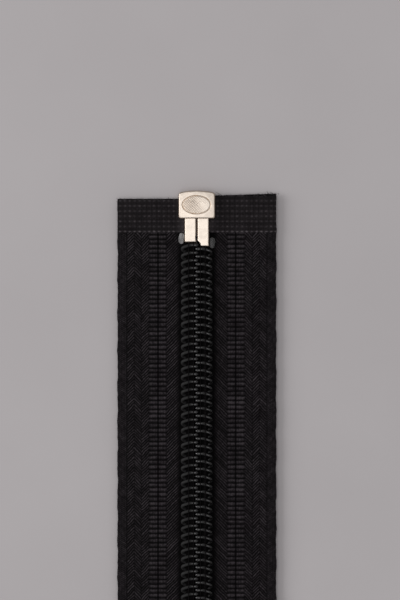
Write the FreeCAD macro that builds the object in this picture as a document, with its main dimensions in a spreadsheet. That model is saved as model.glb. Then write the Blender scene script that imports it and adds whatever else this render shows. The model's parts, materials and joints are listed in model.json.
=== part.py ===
"""Size 10 nylon coil zipper with a separating end, closed, lying flat.

Row frame, millimetres: +Y points along the chain towards the retainer box, +Z is up out of the face
that shows the coils, and the origin is under the middle of the zipper, on the surface it lies on.
"Station" is the distance from the outer end of the retainer box, measured along -Y.
"""
import FreeCAD, Part
import math
import os

import Sketcher

V = FreeCAD.Vector
HAIR = 0.02                       # millimetres between pieces that would otherwise touch

SIZES = [
    ("overall_length", 225.0),    # outer end of the box to the cut ends of the tapes
    ("tape_half_width", 25.4),    # centre line to the outer edge of one tape
    ("tape_bottom", 1.6),         # height of the underside of the tapes
    ("tape_thick", 0.6),
    ("tape_gap", 0.15),           # centre line to the inner edge of a tape
    ("tape_notch", 2.75),         # the same beside the two end pins
    ("sewing_strip", 9.6),        # centre line to the strip of plain tape that is sewn to a garment
    ("left_cut", 2.5),            # station of each tape's cut end
    ("right_cut", 1.66),
    ("right_slant", 0.83),        # how much closer to the end the right cut's outer corner is
    ("patch_end", 13.3),          # station where the reinforcing ribbons end
    ("patch_thick", 0.12),
    ("patch_inner", 4.0),
    ("patch_setback", 0.1),       # from the tape's cut end to the ribbon's
    ("left_bead", 15.2),          # station of the middle of each film bead
    ("right_bead", 16.6),
    ("bead_thick", 0.2),          # the three half sizes of a bead
    ("bead_wide", 0.95),
    ("bead_long", 1.75),
    ("bead_gap", 0.05),           # from a pin's outer face to its bead
    ("coil_pitch", 2.42),
    ("coil_turns", 74),
    ("first_left_head", 17.4),
    ("filament_radius", 0.475),
    ("head_radius", 0.58),
    ("head_reach", 0.72),         # how far a head passes the centre line
    ("coil_outer", 5.1),
    ("coil_top", 5.0),
    ("knee_place", 2.2),          # where a leg starts to lean, from the centre line
    ("upper_lean", 0.31),         # pitches that an upper leg leans by
    ("lower_lean", 0.32),
    ("cord_place", 2.2),          # middle of the filler cord, from the centre line
    ("cord_wide", 1.35),          # the two half sizes of the filler cord
    ("cord_thick", 0.4),
    ("thread_radius", 0.14),
    ("inner_row", 1.1),           # centre line to each row of stitches
    ("outer_row", 2.65),
    ("stitch_foot", 0.85),        # from a coil leg to where the thread reaches the bottom of a stitch
    ("stitch_crest", 0.62),       # half the length of the stitch's top
    ("stitch_dip", 0.72),
    ("thread_end", 197.6),        # station where the cords and threads stop, short of the top stops
    ("flare_start", 186.2),       # stations between which each half swings aside
    ("flare_end", 200.2),
    ("flare_width", 2.7),
    ("tail_spread", 0.8),
    ("box_half_width", 5.8),
    ("box_length", 8.9),
    ("box_height", 5.3),
    ("box_floor", 1.0),
    ("box_roof", 0.9),
    ("box_end_wall", 1.0),
    ("box_cavity", 4.05),
    ("box_crown", 0.7),           # how far the end of the box bows outwards
    ("bow_flat", 0.3),            # half widths of the box to the bow's two corners on each side
    ("bow_corner", 0.72),
    ("bow_drop", 0.22),
    ("box_corner", 0.6),
    ("box_round", 0.45),
    ("slit_end", 1.2),
    ("slit_bottom", 1.35),
    ("slit_top", 2.45),
    ("pin_gap", 0.2),             # centre line to a pin's inner face
    ("pin_outer", 3.9),
    ("pin_bottom", 1.1),
    ("pin_top", 4.3),
    ("pin_start", 1.2),
    ("retainer_pin_end", 16.5),
    ("insertion_pin_end", 17.8),
    ("pin_slot_depth", 1.25),
    ("pin_slot_bottom", 1.44),
    ("pin_slot_top", 2.36),
    ("pin_round", 0.45),
    ("pin_corner", 0.4),
    ("lead_in_length", 2.0),      # the slanted nose of the insertion pin: where its two slopes start
    ("lead_in_step", 1.1),
    ("lead_in_cut", 0.95),        # and how far each goes in from the pin's inner face
    ("lead_in_width", 1.25),
    ("nick_place", 0.8),          # the nick in the retainer pin's inner edge
    ("nick_depth", 0.3),
    ("nick_length", 1.3),
    ("stop_station", 199.0),
    ("stop_length", 4.2),
    ("stop_top", 6.0),
    ("stop_inset", 0.35),         # how far a stop reaches inside the tape's edge, and outside it
    ("stop_width", 3.6),
    ("stop_round", 1.1),
    ("slider_length", 17.0),
    ("slider_front", 198.5),      # station of the slider's front end
    ("slider_rear_half", 6.4),
    ("slider_front_half", 8.75),
    ("slider_straight", 6.5),     # from the rear end to where the sides start to spread
    ("slider_cheek", 4.2),        # from the front end to where they stop spreading
    ("slider_corner", 1.5),
    ("slider_floor", 1.0),
    ("wing_bottom", 5.5),
    ("wing_top", 6.6),
    ("rail_bottom", 2.5),
    ("rail_thick", 1.0),
    ("rail_lip", 0.3),
    ("wing_round", 0.5),
    ("floor_round", 0.3),
    ("wedge_start", 11.3),        # from the slider's rear end to the tip of its wedge
    ("wedge_half", 1.5),
    ("wedge_tip", 0.25),
    ("wedge_shoulder", 1.2),
    ("cradle_half", 1.6),         # the raised seat of the pawl's pivot
    ("cradle_deep", 0.8),
    ("cradle_drop", 0.35),
    ("cover_half", 3.1),
    ("cover_start", 2.2),
    ("cover_length", 12.9),
    ("cover_top", 10.4),
    ("cover_wall", 0.7),
    ("cover_corner", 1.2),
    ("cover_round", 0.65),
    ("axle_window", 1.1),         # half the length of the window for the bail's axle
    ("axle_room", 0.55),
    ("bail_place", 9.0),          # from the slider's rear end to the bail's axle
    ("bail_height", 7.55),
    ("bail_radius", 0.65),
    ("bail_length", 10.8),
    ("bail_half", 4.3),
    ("bail_bend", 1.5),
    ("tab_length", 28.0),
    ("tab_thick", 1.5),
    ("tab_eye_half", 2.6),
    ("tab_half", 4.2),
    ("tab_neck", 4.0),
    ("tab_round", 2.6),
    ("tab_shoulder", 5.0),        # length over which the tab widens
    ("tab_edge", 0.3),
    ("tab_eye_radius", 1.35),
    ("eye_clear", 0.08),
    ("tab_window", 11.5),         # from the eye to the near end of the window
    ("tab_window_half", 2.4),
    ("tab_foot", 3.5),            # from the window to the tab's end
    ("window_corner", 2.0),
    ("tab_droop", 2.9),
    ("pawl_pivot", 13.5),         # from the slider's rear end to the pawl's pivot
    ("pawl_height", 8.45),
    ("pawl_place", 1.875),        # from the centre line to the middle of the prong
    ("pawl_gap", 70.5),           # pitches from the first left head to the prong, between two legs
    ("pawl_reach", 4.4),          # height of the prong's tip
    ("pawl_thick", 0.35),
    ("pawl_half", 2.3),
    ("prong_half", 0.42),         # half sizes of the prong, across and along
    ("prong_deep", 0.4),
    ("hole_side", 0.7),           # from the prong's middle to the sides of its hole in the wing
    ("hole_front", 1.1),
    ("pivot_radius", 0.45),
    ("pivot_clear", 0.05),
    ("leaf_thick", 0.22),
    ("leaf_half", 1.7),
    ("leaf_near", 0.7),           # from the pawl's pivot to the two ends of the spring
    ("leaf_far", 6.8),
    ("leaf_low", 0.2),            # above the middle of the pawl's pivot
    ("leaf_roof", 0.03),
]

doc = FreeCAD.newDocument("zipper")
sheet = doc.addObject("Spreadsheet::Sheet", "Sizes")
for row, (alias, value) in enumerate(SIZES, start=1):
    sheet.set(f"A{row}", alias)
    sheet.set(f"B{row}", str(value))
    sheet.setAlias(f"B{row}", alias)
doc.recompute()


def size(alias):
    """The number that a cell of the sheet holds."""
    return float(sheet.get(alias))


def along(station):
    """Y of a station."""
    return size("overall_length") / 2 - station


def flare(station):
    """How far each half of the zipper stands aside at a station: two tangent arcs, then a straight tail."""
    start, end, width = size("flare_start"), size("flare_end"), size("flare_width")
    run = end - start
    radius = (run ** 2 + width ** 2) / (4 * width)
    if station <= start:
        return 0.0
    if station <= start + run / 2:
        return radius - math.sqrt(radius ** 2 - (station - start) ** 2)
    if station <= end:
        return width - radius + math.sqrt(radius ** 2 - (end - station) ** 2)
    tail = size("overall_length") - end
    return width + size("tail_spread") * (station - end) / tail


def labelled(shape, label):
    """A Part::Feature that holds a finished shape."""
    part = doc.addObject("Part::Feature", label)
    part.Label = label
    part.Shape = shape
    return part


# Sketch and body helpers -------------------------------------------------------------------------

def new_body(label):
    body = doc.addObject("PartDesign::Body", label)
    body.Label = label
    return body


def plane_of(body, role):
    return next(f for f in body.Origin.OriginFeatures if f.Role == role)


def outline(body, role, level, points):
    """A closed straight-sided sketch on an origin plane, raised by `level`.

    Levels and coordinates are expressions over the sheet, so each corner is bound to its cells.
    """
    sketch = body.newObject("Sketcher::SketchObject", body.Name + "_outline")
    sketch.AttachmentSupport = [(plane_of(body, role), "")]
    sketch.MapMode = "FlatFace"
    sketch.setExpression("AttachmentOffset.Base.z", level)
    corners = [(sheet_value(x), sheet_value(y)) for x, y in points]
    count = len(corners)
    for i, (x, y) in enumerate(corners):
        x2, y2 = corners[(i + 1) % count]
        sketch.addGeometry(Part.LineSegment(V(x, y, 0), V(x2, y2, 0)))
    for i in range(count):
        sketch.addConstraint(Sketcher.Constraint("Coincident", i, 2, (i + 1) % count, 1))
    for i, (x, y) in enumerate(points):
        for kind, value, text in (("DistanceX", corners[i][0], x), ("DistanceY", corners[i][1], y)):
            index = sketch.addConstraint(Sketcher.Constraint(kind, -1, 1, i, 1, value))
            sketch.setExpression(f"Constraints[{index}]", text)
    return sketch


probe = doc.addObject("App::FeaturePython", "Probe")
probe.addProperty("App::PropertyFloat", "Reading")


def sheet_value(text):
    """The number that an expression over the sheet gives."""
    probe.setExpression("Reading", text)
    probe.recompute()
    return float(probe.Reading)


def box_points(x0, x1, y0, y1):
    return [(x0, y0), (x1, y0), (x1, y1), (x0, y1)]


def across(body, y, z, radius):
    """A circle on the plane across the zipper, for what turns about an axis along X."""
    sketch = body.newObject("Sketcher::SketchObject", body.Name + "_ring")
    sketch.AttachmentSupport = [(plane_of(body, "YZ_Plane"), "")]
    sketch.MapMode = "FlatFace"
    centre = V(sheet_value(y), sheet_value(z), 0)
    sketch.addGeometry(Part.Circle(centre, V(0, 0, 1), sheet_value(radius)))
    for kind, value, text in (("DistanceX", centre.x, y), ("DistanceY", centre.y, z)):
        index = sketch.addConstraint(Sketcher.Constraint(kind, -1, 1, 0, 3, value))
        sketch.setExpression(f"Constraints[{index}]", text)
    index = sketch.addConstraint(Sketcher.Constraint("Radius", 0, sheet_value(radius)))
    sketch.setExpression(f"Constraints[{index}]", radius)
    return sketch


def pad(body, sketch, length, reverse=False):
    """Adds material above the sketch, or below it with `reverse`."""
    feature = body.newObject("PartDesign::Pad", body.Name + "_pad")
    feature.Profile = sketch
    feature.setExpression("Length", length)
    feature.Reversed = reverse
    doc.recompute()
    return feature


def pocket(body, sketch, length, reverse=True):
    """Cuts upwards from the sketch (or downwards with reverse False) and makes sure it cut something."""
    before = body.Shape.Volume
    feature = body.newObject("PartDesign::Pocket", body.Name + "_pocket")
    feature.Profile = sketch
    feature.setExpression("Length", length)
    feature.Reversed = reverse
    doc.recompute()
    if not body.Shape.Volume < before - 1e-4:
        raise RuntimeError(f"{body.Label}: a pocket cut nothing")
    return feature


def dress(body, kind, amount, wanted):
    """A PartDesign Fillet or Chamfer on the edges of the tip for which wanted(edge) is true.

    The amount is an expression over the sheet.
    """
    base = body.Tip
    names = [f"Edge{i + 1}" for i, e in enumerate(base.Shape.Edges) if wanted(e)]
    if not names:
        raise RuntimeError(f"{body.Label}: no edge to dress")
    feature = body.newObject("PartDesign::" + kind, body.Name + "_" + kind.lower())
    feature.Base = (base, names)
    feature.setExpression("Radius" if kind == "Fillet" else "Size", amount)
    doc.recompute()
    return feature


def runs_along(edge, axis):
    """True for a straight edge parallel to the axis, "x", "y" or "z"."""
    if edge.Curve.TypeId != "Part::GeomLine":
        return False
    return abs(getattr(edge.tangentAt(edge.FirstParameter), axis)) > 0.999


def middle(edge):
    return edge.BoundBox.Center


# Swept filaments ---------------------------------------------------------------------------------

def rounded_path(corners, radii):
    """A wire through `corners`, with a tangent arc of the matching radius at each inner corner."""
    edges = []
    last = corners[0]
    for before, corner, after, radius in zip(corners, corners[1:], corners[2:], radii):
        into, out = (corner - before).normalize(), (after - corner).normalize()
        half_turn = into.getAngle(out) / 2
        if half_turn < 1e-4:
            continue
        reach = radius * math.tan(half_turn)
        enter, leave = corner - into * reach, corner + out * reach
        toward = (out - into).normalize()
        mid = corner + toward * (radius / math.cos(half_turn) - radius)
        edges.append(Part.LineSegment(last, enter).toShape())
        edges.append(Part.Arc(enter, mid, leave).toShape())
        last = leave
    edges.append(Part.LineSegment(last, corners[-1]).toShape())
    return Part.Wire(edges)


def round_tube(path, radius):
    """A round bar along a tangent path."""
    edge = path.OrderedEdges[0]
    start = edge.valueAt(edge.FirstParameter)
    heading = edge.tangentAt(edge.FirstParameter)
    ring = Part.Wire(Part.makeCircle(radius, start, heading))
    return path.makePipeShell([ring], True, False)


def chained(lengths):
    """One solid from bars laid end to end: the faces between neighbours are dropped and the rest sewn."""
    faces = []
    for i, (solid, start, end) in enumerate(lengths):
        for face in solid.Faces:
            flat = face.Surface.TypeId == "Part::GeomPlane"
            at_start = flat and (face.CenterOfMass - start).Length < 1e-3
            at_end = flat and (face.CenterOfMass - end).Length < 1e-3
            if (at_start and i > 0) or (at_end and i < len(lengths) - 1):
                continue
            faces.append(face)
    skin = Part.makeShell(faces)
    skin.sewShape(1e-4)
    solid = Part.makeSolid(skin if skin.ShapeType == "Shell" else skin.Shells[0])
    if solid.Volume < 0:
        solid.reverse()
    return solid


def mirrored(shape):
    """The same shape on the other side of the chain."""
    return shape.mirror(V(0, 0, 0), V(1, 0, 0))


# The chain ---------------------------------------------------------------------------------------

def coil_turn(head, next_head):
    """One turn of the right-hand coil, from the middle of one lower leg to the middle of the next.

    Stations of its head and of the next one. Returns (solid, start point, end point).
    """
    radius = size("filament_radius")
    low = size("tape_bottom") + size("tape_thick") + HAIR + radius
    high = size("coil_top") - radius
    inner = radius - size("head_reach")
    outer = size("coil_outer") - radius
    pitch = size("coil_pitch")
    knee = size("knee_place")
    joint_x, lower_knee = knee - 0.2, knee + 0.4
    here, there = flare(head), flare(next_head)
    y0, y1 = along(head), along(next_head)
    corners = [
        V(joint_x + here, y0, low),
        V(inner + here, y0, low),
        V(inner + here, y0, high),
        V(knee + here, y0, high),
        V(outer + here, y0 - size("upper_lean") * pitch, high),
        V(outer + there, y1 + size("lower_lean") * pitch, low),
        V(lower_knee + there, y1, low),
        V(joint_x + there, y1, low),
    ]
    head_bend, knee_bend, bend, lower_knee_bend = 0.55, 1.6, 0.85, 1.2
    path = rounded_path(corners, [head_bend, head_bend, knee_bend, bend, bend, lower_knee_bend])
    bar = round_tube(path, radius)
    button, overhang, edge_round = size("head_radius"), 0.55 * radius, 0.2
    boss = Part.makeCylinder(
        button, high - low + 2 * overhang, V(button - size("head_reach") + here, y0, low - overhang))
    boss = boss.makeFillet(edge_round, [e for e in boss.Edges if e.Curve.TypeId == "Part::GeomCircle"])
    return bar.fuse(boss).removeSplitter(), corners[0], corners[-1]


def coil(first_head):
    """A whole right-hand coil. Turns in the straight stretch are copies of one."""
    pitch, count = size("coil_pitch"), int(size("coil_turns"))
    straight, start, end = coil_turn(first_head, first_head + pitch)
    lengths = []
    for i in range(count):
        head = first_head + i * pitch
        if head + pitch <= size("flare_start"):
            shift = V(0, -i * pitch, 0)
            lengths.append((straight.translated(shift), start + shift, end + shift))
        else:
            lengths.append(coil_turn(head, head + pitch))
    return chained(lengths)


def needle_stitch(row, head, next_head):
    """One stitch of the right-hand needle thread: over one coil leg and down on each side of it."""
    pitch = size("coil_pitch")
    leaning_length = size("coil_outer") - size("filament_radius") - size("knee_place")
    lean = size("upper_lean") * pitch * max(0.0, row - size("knee_place")) / leaning_length
    y0 = along(head) - lean
    over = size("coil_top") + size("thread_radius") + 2 * HAIR
    under = over - size("stitch_dip")
    foot, crest, bend = size("stitch_foot"), size("stitch_crest"), 0.17
    here, there = row + flare(head - pitch / 2), row + flare(next_head - pitch / 2)
    at_leg = row + flare(head)
    corners = [
        V(here, y0 + pitch / 2, under),
        V(here, y0 + foot, under),
        V(at_leg, y0 + crest, over),
        V(at_leg, y0 - crest, over),
        V(there, y0 - foot, under),
        V(there, y0 - pitch / 2, under),
    ]
    path = rounded_path(corners, [bend] * 4)
    return round_tube(path, size("thread_radius")), corners[0], corners[-1]


def needle_thread(row, first_head):
    pitch, count = size("coil_pitch"), int(size("coil_turns"))
    straight, start, end = needle_stitch(row, first_head, first_head + pitch)
    lengths = []
    for i in range(count):
        head = first_head + i * pitch
        if head + 1.5 * pitch <= size("flare_start"):
            shift = V(0, -i * pitch, 0)
            lengths.append((straight.translated(shift), start + shift, end + shift))
        else:
            lengths.append(needle_stitch(row, head, head + pitch))
    return chained(lengths)


def flared_path(offset, level, first, last):
    """A wire that follows one half of the zipper at a distance from its middle, between two stations."""
    start, end, width = size("flare_start"), size("flare_end"), size("flare_width")
    run = end - start
    radius = (run ** 2 + width ** 2) / (4 * width)
    half = math.asin(run / 2 / radius) / 2

    def spot(station):
        return V(offset + flare(station), along(station), level)

    turn_in = V(offset + radius * (1 - math.cos(half)), along(start + radius * math.sin(half)), level)
    turn_out = V(offset + width - radius * (1 - math.cos(half)),
                 along(end - radius * math.sin(half)), level)
    edges = [
        Part.LineSegment(spot(first), spot(start)).toShape(),
        Part.Arc(spot(start), turn_in, spot(start + run / 2)).toShape(),
    ]
    if last > end:
        edges.append(Part.Arc(spot(start + run / 2), turn_out, spot(end)).toShape())
        edges.append(Part.LineSegment(spot(end), spot(last)).toShape())
    else:
        edges.append(Part.Arc(spot(start + run / 2), spot((start + run / 2 + last) / 2),
                              spot(last)).toShape())
    return Part.Wire(edges)


def filler_cord(first_head):
    """The flat cord that runs inside a coil."""
    level = (size("tape_bottom") + size("tape_thick") + size("coil_top")) / 2
    first = first_head + 0.5
    path = flared_path(size("cord_place"), level, first, size("thread_end"))
    flat = Part.Ellipse(V(0, 0, 0), size("cord_wide"), size("cord_thick")).toShape()
    flat.rotate(V(0, 0, 0), V(1, 0, 0), 90)
    flat.translate(V(size("cord_place"), along(first), level))
    return path.makePipeShell([Part.Wire(flat)], True, False)


def bobbin_thread(row, first_head):
    level = size("tape_bottom") - size("thread_radius") - HAIR
    path = flared_path(row, level, first_head, size("thread_end"))
    return round_tube(path, size("thread_radius"))


def tape(cut, slant):
    """One woven tape, right-hand side: straight, notched beside the end pin, swinging out at the top."""
    bottom = size("overall_length")
    level = size("tape_bottom")
    pins = size("insertion_pin_end")
    inner = flared_path(size("tape_gap"), level, pins, bottom)
    outer = flared_path(size("tape_half_width"), level, cut - slant, bottom)
    notch_top = V(size("tape_notch"), along(cut), level)
    notch_bottom = V(size("tape_notch"), along(pins), level)
    (inner_first, inner_last), (outer_first, outer_last) = ends(inner), ends(outer)
    links = [
        Part.LineSegment(inner_first, notch_bottom).toShape(),
        Part.LineSegment(notch_bottom, notch_top).toShape(),
        Part.LineSegment(notch_top, outer_first).toShape(),
        Part.LineSegment(outer_last, inner_last).toShape(),
    ]
    rim = Part.Wire(Part.__sortEdges__(inner.Edges + outer.Edges + links))
    whole = Part.Face(rim).extrude(V(0, 0, size("tape_thick")))
    strip = whole.common(sewing_strip())
    return whole.cut(strip).fuse(strip)


def sewing_strip():
    """The space of the strip that a seam runs in, clear of the ribbons and of the slider's path.

    The tape's faces are split along it, so that the strip has a face of its own above and below.
    """
    spare = 1.0
    level, last = size("tape_bottom") - spare, size("overall_length") + spare
    first = size("patch_end") + size("patch_setback")
    near = flared_path(size("sewing_strip"), level, first, last)
    far = flared_path(size("tape_half_width") + spare, level, first, last)
    links = [Part.LineSegment(ends(near)[i], ends(far)[i]).toShape() for i in (0, 1)]
    rim = Part.Wire(Part.__sortEdges__(near.Edges + far.Edges + links))
    return Part.Face(rim).extrude(V(0, 0, size("tape_thick") + 2 * spare))


def ends(wire):
    """The first and the last point of an open wire."""
    first, last = wire.OrderedEdges[0], wire.OrderedEdges[-1]
    return first.valueAt(first.FirstParameter), last.valueAt(last.LastParameter)


def build_stringers():
    pitch = size("coil_pitch")
    left_head = size("first_left_head")
    right_head = left_head + pitch / 2
    for side, slant, head in (("left", 0.0, left_head), ("right", size("right_slant"), right_head)):
        shapes = {
            "tape": tape(size(side + "_cut"), slant),
            "coil": coil(head),
            "filler_cord": filler_cord(head),
            "needle_thread_inner": needle_thread(size("inner_row"), head),
            "needle_thread_outer": needle_thread(size("outer_row"), head),
            "bobbin_threads": Part.makeCompound(
                [bobbin_thread(size(row), head) for row in ("inner_row", "outer_row")]),
        }
        for name, shape in shapes.items():
            labelled(mirrored(shape) if side == "left" else shape, f"{side}_{name}")


# The separating end ------------------------------------------------------------------------------

def build_patch(side, face):
    """A ribbon bonded over the cut end of one tape, on its upper or lower face."""
    sign = "-" if side == "left" else ""
    body = new_body(f"{side}_patch_{face}")
    top = f"Sizes.overall_length / 2 - Sizes.{side}_cut - Sizes.patch_setback"
    bottom = "Sizes.overall_length / 2 - Sizes.patch_end"
    points = box_points(f"{sign}Sizes.patch_inner", f"{sign}Sizes.tape_half_width", bottom, top)
    level = "Sizes.tape_bottom + Sizes.tape_thick" if face == "front" else "Sizes.tape_bottom"
    sketch = outline(body, "XY_Plane", level, points)
    pad(body, sketch, "Sizes.patch_thick", reverse=face == "back")


def build_film_bead(side):
    """The flattened bead of clear film that seals a tape's edge where its end pin stops."""
    bead = doc.addObject("Part::Ellipsoid", f"{side}_film_bead")
    bead.Label = f"{side}_film_bead"
    for radius, cell in (("Radius1", "bead_thick"), ("Radius2", "bead_wide"), ("Radius3", "bead_long")):
        bead.setExpression(radius, "Sizes." + cell)
    bead.Angle1 = 0               # the upper half, which lies on the tape
    sign = "-" if side == "left" else ""
    bead.setExpression("Placement.Base.x", sign + "(Sizes.pin_outer + Sizes.bead_gap + Sizes.bead_wide)")
    bead.setExpression("Placement.Base.y", f"Sizes.overall_length / 2 - Sizes.{side}_bead")
    bead.setExpression("Placement.Base.z", "Sizes.tape_bottom + Sizes.tape_thick")


def build_pin(label, side, end):
    """An end pin: a bar with a slot in its outer side that grips the tape's edge."""
    sign = "-" if side == "left" else ""
    body = new_body(label)
    top = "Sizes.overall_length / 2 - Sizes.pin_start"
    bottom = f"Sizes.overall_length / 2 - Sizes.{end}"
    inner, outer = sign + "Sizes.pin_gap", sign + "Sizes.pin_outer"
    if label == "insertion_pin":
        nose = [(inner, bottom + " + Sizes.lead_in_length"),
                (inner + " + Sizes.lead_in_cut", bottom + " + Sizes.lead_in_step"),
                (inner + " + Sizes.lead_in_width", bottom)]
    else:
        nose = [(inner, bottom)]
    bar = outline(body, "XY_Plane", "Sizes.pin_bottom", nose + [(outer, bottom), (outer, top), (inner, top)])
    pad(body, bar, "Sizes.pin_top - Sizes.pin_bottom")
    slot = outline(body, "XY_Plane", "Sizes.pin_slot_bottom", box_points(
        f"{sign}(Sizes.pin_outer - Sizes.pin_slot_depth)", f"{sign}(Sizes.pin_outer + 1)",
        bottom + " - 1", top + " + 1"))
    pocket(body, slot, "Sizes.pin_slot_top - Sizes.pin_slot_bottom")
    low_end = along(size(end)) + 0.01
    dress(body, "Fillet", "Sizes.pin_corner", lambda e: runs_along(e, "z") and middle(e).y < low_end
          and abs(middle(e).x) > size("pin_outer") - 0.01)
    top_face = size("pin_top") - 0.01
    dress(body, "Fillet", "Sizes.pin_round", lambda e: runs_along(e, "y") and middle(e).z > top_face)
    if label == "retainer_pin":
        nick = outline(body, "XY_Plane", "Sizes.pin_bottom", box_points(
            "-Sizes.pin_gap - Sizes.nick_depth", "-Sizes.pin_gap + 0.1",
            bottom + " + Sizes.nick_place", bottom + " + Sizes.nick_place + Sizes.nick_length"))
        pocket(body, nick, "Sizes.pin_top - Sizes.pin_bottom")
    return body


def build_retainer_box():
    """The box: a bowed shell with a pin cavity open towards the chain and a slit each side for the tape."""
    body = new_body("retainer_box")
    end = "Sizes.overall_length / 2"
    mouth = end + " - Sizes.box_length"
    shoulder = end + " - Sizes.box_crown"
    half = "Sizes.box_half_width"
    flat, corner = half + " * Sizes.bow_flat", half + " * Sizes.bow_corner"
    shell = outline(body, "XY_Plane", "0", [
        ("-" + half, mouth), (half, mouth), (half, shoulder), (corner, end + " - Sizes.bow_drop"),
        (flat, end), ("-" + flat, end), ("-" + corner, end + " - Sizes.bow_drop"), ("-" + half, shoulder)])
    pad(body, shell, "Sizes.box_height")
    inside = end + " - Sizes.box_end_wall"
    cavity = outline(body, "XY_Plane", "Sizes.box_floor", box_points(
        "-Sizes.box_cavity", "Sizes.box_cavity", mouth + " - 0.5", inside))
    pocket(body, cavity, "Sizes.box_height - Sizes.box_roof - Sizes.box_floor")
    slit = outline(body, "XY_Plane", "Sizes.slit_bottom", box_points(
        "-" + half + " - 1", half + " + 1", mouth + " - 0.5", end + " - Sizes.slit_end"))
    pocket(body, slit, "Sizes.slit_top - Sizes.slit_bottom")
    half_width = size("box_half_width")
    dress(body, "Fillet", "Sizes.box_corner", lambda e: runs_along(e, "z")
          and abs(middle(e).x) > half_width - 0.1 and middle(e).y > along(size("slit_end")))
    top_face = size("box_height") - 0.01
    dress(body, "Fillet", "Sizes.box_round", lambda e: middle(e).z > top_face)
    return body


def build_top_stop(side):
    """A clamp round the edge of one tape just past its last coil turn."""
    sign = "-" if side == "left" else ""
    body = new_body(f"{side}_top_stop")
    bottom = "Sizes.overall_length / 2 - Sizes.stop_station - Sizes.stop_length"
    top = "Sizes.overall_length / 2 - Sizes.stop_station"
    inner, outer = "(Sizes.flare_width - Sizes.stop_inset)", "(Sizes.flare_width + Sizes.stop_width)"
    block = outline(body, "XY_Plane", "Sizes.pin_bottom", box_points(
        sign + inner, sign + outer, bottom, top))
    pad(body, block, "Sizes.stop_top - Sizes.pin_bottom")
    slot = outline(body, "XY_Plane", "Sizes.pin_slot_bottom", box_points(
        f"{sign}(Sizes.flare_width + 0.05)", f"{sign}(Sizes.flare_width + Sizes.stop_width + 1)",
        bottom + " - 1", top + " + 1"))
    pocket(body, slot, "Sizes.pin_slot_top - Sizes.pin_slot_bottom")
    top_face = size("stop_top") - 0.01
    dress(body, "Fillet", "Sizes.stop_round", lambda e: middle(e).z > top_face)
    return body


# The slider --------------------------------------------------------------------------------------

FRONT = "(Sizes.overall_length / 2 - Sizes.slider_front)"
REAR = "(Sizes.overall_length / 2 - Sizes.slider_front + Sizes.slider_length)"
PIVOT = REAR + " - Sizes.pawl_pivot"
PRONG = "(Sizes.overall_length / 2 - Sizes.first_left_head - Sizes.pawl_gap * Sizes.coil_pitch)"


def both_ways(points):
    """A right-hand half outline with its mirror image, as one closed outline."""
    return points + [("-(" + x + ")", y) for x, y in reversed(points)]


def plate_points(inset="0"):
    rear, front = f"(Sizes.slider_rear_half - {inset})", f"(Sizes.slider_front_half - {inset})"
    return [(rear, REAR), (rear, REAR + " - Sizes.slider_straight"),
            (front, FRONT + " + Sizes.slider_cheek"), (front, FRONT)]


def build_slider_body():
    """Two wings joined by a wedge at the front, with rails that hold the coils in."""
    body = new_body("slider_body")
    pad(body, outline(body, "XY_Plane", "0", both_ways(plate_points())), "Sizes.slider_floor")
    tip = REAR + " - Sizes.wedge_start"
    wedge = [("Sizes.wedge_tip", tip), ("Sizes.wedge_half", FRONT + " + Sizes.wedge_shoulder"),
             ("Sizes.wedge_half", FRONT)]
    wedge_tall = "Sizes.wing_bottom - Sizes.slider_floor"
    pad(body, outline(body, "XY_Plane", "Sizes.slider_floor", both_ways(wedge)), wedge_tall)
    pad(body, outline(body, "XY_Plane", "Sizes.wing_bottom", both_ways(plate_points())),
        "Sizes.wing_top - Sizes.wing_bottom")
    for sign in ("", "-"):
        outer = plate_points()
        inner = plate_points("Sizes.rail_thick")
        rail = [(sign + x, y) for x, y in outer + inner[::-1]]
        pad(body, outline(body, "XY_Plane", "Sizes.wing_bottom", rail),
            "Sizes.wing_bottom - Sizes.rail_bottom", reverse=True)
        pad(body, outline(body, "XY_Plane", "Sizes.slider_floor", rail), "Sizes.rail_lip")
    cradle = outline(body, "XY_Plane", "Sizes.wing_top", box_points(
        "-Sizes.cradle_half", "Sizes.cradle_half", PIVOT + " - Sizes.cradle_deep",
        PIVOT + " + Sizes.cradle_deep"))
    pad(body, cradle, "Sizes.pawl_height - Sizes.cradle_drop - Sizes.wing_top")
    groove = across(body, PIVOT, "Sizes.pawl_height", "Sizes.pivot_radius + Sizes.pivot_clear")
    cut = body.newObject("PartDesign::Pocket", "cradle_groove")
    cut.Profile = groove
    cut.Midplane = True
    cut.setExpression("Length", "2 * Sizes.cradle_half + 1")
    hole = outline(body, "XY_Plane", "Sizes.wing_bottom - 1", box_points(
        "-Sizes.pawl_place - Sizes.hole_side", "-Sizes.pawl_place + Sizes.hole_side",
        PRONG + " - Sizes.hole_side", PRONG + " + Sizes.hole_front"))
    pocket(body, hole, "Sizes.wing_top - Sizes.wing_bottom + 2")
    front = along(size("slider_front"))
    rear = front + size("slider_length")
    dress(body, "Fillet", "Sizes.slider_corner", lambda e: runs_along(e, "z")
          and abs(middle(e).x) > size("slider_rear_half") - 0.1
          and (middle(e).z > size("wing_bottom") - 0.5 or middle(e).z < size("slider_floor"))
          and not front + 0.1 < middle(e).y < rear - 0.1)
    rim = size("cover_half") - 0.3
    dress(body, "Fillet", "Sizes.wing_round", lambda e: middle(e).z > size("wing_top") - 0.01
          and (abs(middle(e).x) > rim or not front + 0.5 < middle(e).y < rear - 0.5))
    dress(body, "Fillet", "Sizes.floor_round", lambda e: middle(e).z < 0.01)
    return body


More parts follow.
